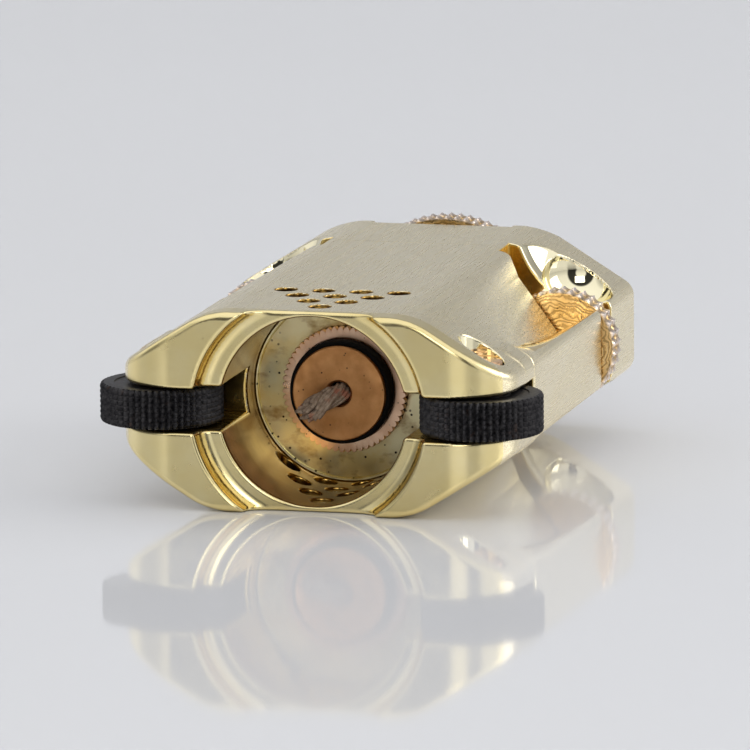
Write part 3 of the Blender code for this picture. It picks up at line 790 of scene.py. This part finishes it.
def wick_finish():
    made = Shader("wick_finish", (0.35, 0.30, 0.24), 0.85, 0.0)
    fine = made.noise(1500.0, 5.0)
    shade = made.mix(made.ramp(fine, (0.35, 0.0), (0.7, 1.0)), (0.44, 0.34, 0.25), (0.14, 0.085, 0.055))
    red = made.ramp(made.noise(700.0), (0.55, 0.0), (0.66, 0.8))
    made.colour(made.mix(red, shade, (0.42, 0.15, 0.09)))
    made.bump(fine, 0.00005, 0.8)
    return made.material


def make_pieces():
    make_block(block_materials())
    marks = (200.0, 3000.0, 200.0)
    # The third colour is a pale highlight painted on the tips of the knurled teeth of the nuts and the cap.
    nut_light, nut_deep, tooth_highlight = (0.78, 0.54, 0.26), (0.58, 0.36, 0.13), (0.92, 0.80, 0.72)
    ring_copper = copper_finish("copper_ring", (0.96, 0.68, 0.48), (0.84, 0.52, 0.33), 0.34, marks)
    plug_copper = copper_finish("copper_plug", (0.62, 0.31, 0.12), (0.38, 0.17, 0.055), 0.4, marks)
    pin_copper = copper_finish("copper_pin", (0.86, 0.58, 0.36), (0.62, 0.36, 0.18), 0.25, marks)
    wheel = black_steel_finish()
    for side in ("left", "right"):
        make_wheel(side, wheel)
        node = side + "_feed_nut"
        # Painted highlight on the nut's tooth tips.
        highlight_tips = (size(node).x / 2, tooth_highlight)
        name = side + "_nut_copper"
        make_nut(side, [copper_finish(name, nut_light, nut_deep, 0.26, marks, middle(node), highlight_tips)])
        make_axle(side, [pin_copper])
    # Painted highlight on the cap's tooth tips.
    cap_highlight_tips = (size("filler_cap").x / 2, tooth_highlight)
    cap_middle = middle("filler_cap")
    make_cap([copper_finish("cap_copper", nut_light, nut_deep, 0.26, marks, cap_middle, cap_highlight_tips)])
    make_ring([ring_copper])
    make_plate([plate_finish()])
    make_plug([plug_copper])
    make_wick([wick_finish()])
    black, worn = (0.004, 0.004, 0.004), (0.010, 0.009, 0.008)
    rubber = plain_finish("rubber_finish", black, worn, 900.0, 0.8, 0.0, 0.00002)
    rubber.node_tree.nodes["Principled BSDF"].inputs["Specular IOR Level"].default_value = 0.15
    # The plug's seal is real rubber, widened so that it also fills the gap's shadow with black.
    make_plug_seal_and_shadow([rubber])
    steel = plain_finish("steel_finish", (0.55, 0.55, 0.57), (0.35, 0.34, 0.33), 700.0, 0.35, 1.0, 0.00001)
    soft = plain_finish("cotton_finish", (0.80, 0.77, 0.70), (0.60, 0.56, 0.48), 600.0, 0.95, 0.0, 0.0003)
    felt = plain_finish("felt_finish", (0.55, 0.53, 0.48), (0.38, 0.36, 0.32), 900.0, 0.95, 0.0, 0.0002)
    flint = plain_finish("flint_finish", (0.32, 0.31, 0.30), (0.16, 0.15, 0.15), 1200.0, 0.7, 0.4, 0.0001)
    kept = {"burner_seal": rubber, "cap_seal": rubber, "packing": soft, "felt_pad": felt}
    for side in ("left", "right"):
        kept[side + "_flint"] = flint
        for piece in ("_flint_spring", "_pusher", "_bore_screw"):
            kept[side + piece] = steel
    for node, made in kept.items():
        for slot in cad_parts[node].material_slots:
            slot.material = made


# Floor, light and camera

def floor_finish():
    made = Shader("floor_finish", (0.80, 0.80, 0.81), 0.05, 0.0)
    made.surface.inputs["IOR"].default_value = 1.42
    made.roughness(made.ramp(made.noise(6.0, 3.0), (0.3, 0.03), (0.8, 0.07)))
    return made.material


def make_floor():
    """A glossy pale sheet that curves up a long way behind.

    It leans a little, so that the lighter's front rests on it.
    """
    width, front_reach, back_reach, rise = 3.0, 1.6, 1.5, 2.0
    rows = [(-front_reach, 0.0), (0.0, 0.0), (back_reach, 0.0)]
    for i in range(1, 17):
        a = math.pi / 2 * i / 16
        rows.append((back_reach + rise / 2 * math.sin(a), rise / 2 * (1 - math.cos(a))))
    rows.append((back_reach + rise / 2, rise * 1.5))
    vertices = np.array([(x, y, z) for y, z in rows for x in (-width, width)])
    faces = np.array([(2 * i, 2 * i + 1, 2 * i + 3, 2 * i + 2) for i in range(len(rows) - 1)])
    floor = bpy.data.objects.new("floor", mesh_of("floor", vertices, faces))
    floor.data.materials.append(floor_finish())
    bpy.context.scene.collection.objects.link(floor)
    front_y, cap_y = FRONT.y + 0.6 * MM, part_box("filler_cap")[1].y - 1.6 * MM
    front_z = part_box("body")[0].z
    lean = math.atan2(front_z, cap_y - front_y)
    clearance = 0.02 * MM
    floor.matrix_world = Matrix.Translation((0.0, cap_y, -clearance)) @ Matrix.Rotation(-lean, 4, "X")


def add_panel(name, centre, target, width, height, power, colour=(1.0, 1.0, 1.0)):
    light = bpy.data.lights.new(name, "AREA")
    light.shape = "RECTANGLE"
    light.size, light.size_y = width, height
    light.energy = power
    light.color = colour
    obj = bpy.data.objects.new(name, light)
    obj.location = centre
    aim = Vector(target) - Vector(centre)
    obj.rotation_euler = aim.to_track_quat("-Z", "Y").to_euler()
    bpy.context.scene.collection.objects.link(obj)


def viewing_direction():
    """Where the viewer stands, as seen from the lighter."""
    azimuth, elevation = math.radians(VIEW_AZIMUTH), math.radians(VIEW_ELEVATION)
    return Vector((
        math.sin(azimuth) * math.cos(elevation), -math.cos(azimuth) * math.cos(elevation), math.sin(elevation),
    ))


def world_ramp(tree, value, levels):
    made = tree.nodes.new("ShaderNodeValToRGB")
    elements = made.color_ramp.elements
    while len(elements) < len(levels):
        elements.new(0.5)
    for element, (at, level) in zip(elements, levels):
        element.position = at
        element.color = (0.985 * level, 0.99 * level, level, 1.0)
    tree.links.new(value, made.inputs["Fac"])
    return made.outputs["Color"]


def light_studio():
    """A white tent, dim low down and on the left, with the dark gap that the picture is taken through."""
    world = bpy.data.worlds.new("studio")
    world.use_nodes = True
    tree = world.node_tree
    place = tree.nodes.new("ShaderNodeTexCoord").outputs["Generated"]
    shade = None
    dim_side = Vector((-0.90, -0.42, 0.10)).normalized()
    zones = (
        (Vector((0.0, 0.0, 1.0)), ((0.0, 0.38), (0.5, 0.60), (0.62, 0.95), (1.0, 1.15))),
        (viewing_direction(), ((0.87, 1.0), (0.895, 0.04), (0.980, 0.04), (0.986, 1.1))),
        (dim_side, ((0.90, 1.0), (0.985, 0.30))),
    )
    for direction, levels in zones:
        facing = tree.nodes.new("ShaderNodeVectorMath")
        facing.operation = "DOT_PRODUCT"
        facing.inputs[1].default_value = direction
        tree.links.new(place, facing.inputs[0])
        spread = tree.nodes.new("ShaderNodeMapRange")
        spread.inputs["From Min"].default_value = -1.0
        tree.links.new(facing.outputs["Value"], spread.inputs["Value"])
        level = world_ramp(tree, spread.outputs["Result"], levels)
        if shade is None:
            shade = level
        else:
            both = tree.nodes.new("ShaderNodeVectorMath")
            both.operation = "MULTIPLY"
            tree.links.new(shade, both.inputs[0])
            tree.links.new(level, both.inputs[1])
            shade = both.outputs["Vector"]
    tree.links.new(shade, tree.nodes["Background"].inputs["Color"])
    bpy.context.scene.world = world
    add_panel("right_panel", (0.9, 0.35, 0.4), (0.0, 0.0, 0.0), 0.7, 0.5, 2.5)
    add_panel("front_panel", (0.35, -1.0, 0.62), (0.0, 0.0, 0.0), 0.6, 0.4, 2.6, (1.0, 0.98, 0.95))


def add_camera():
    """A long lens a little right of the front and a little above it."""
    roll, distance = math.radians(-0.557), 1.1
    aim = FRONT + Vector((6.963, 0.0, 4.351)) * MM
    back = viewing_direction()
    right = Vector((-back.y, back.x, 0.0)).normalized()
    up = back.cross(right)
    turned_right = math.cos(roll) * right + math.sin(roll) * up
    turned_up = back.cross(turned_right)
    data = bpy.data.cameras.new("camera")
    data.lens, data.sensor_width = 538.8, 36.0
    data.clip_start, data.clip_end = 0.05, 20.0
    camera = bpy.data.objects.new("camera", data)
    turn = Matrix((turned_right, turned_up, back)).transposed()
    camera.matrix_world = Matrix.Translation(aim + distance * back) @ turn.to_4x4()
    bpy.context.scene.collection.objects.link(camera)
    bpy.context.scene.camera = camera


def main():
    make_pieces()
    make_floor()
    light_studio()
    add_camera()
    bpy.context.scene.view_settings.view_transform = "Standard"


main()
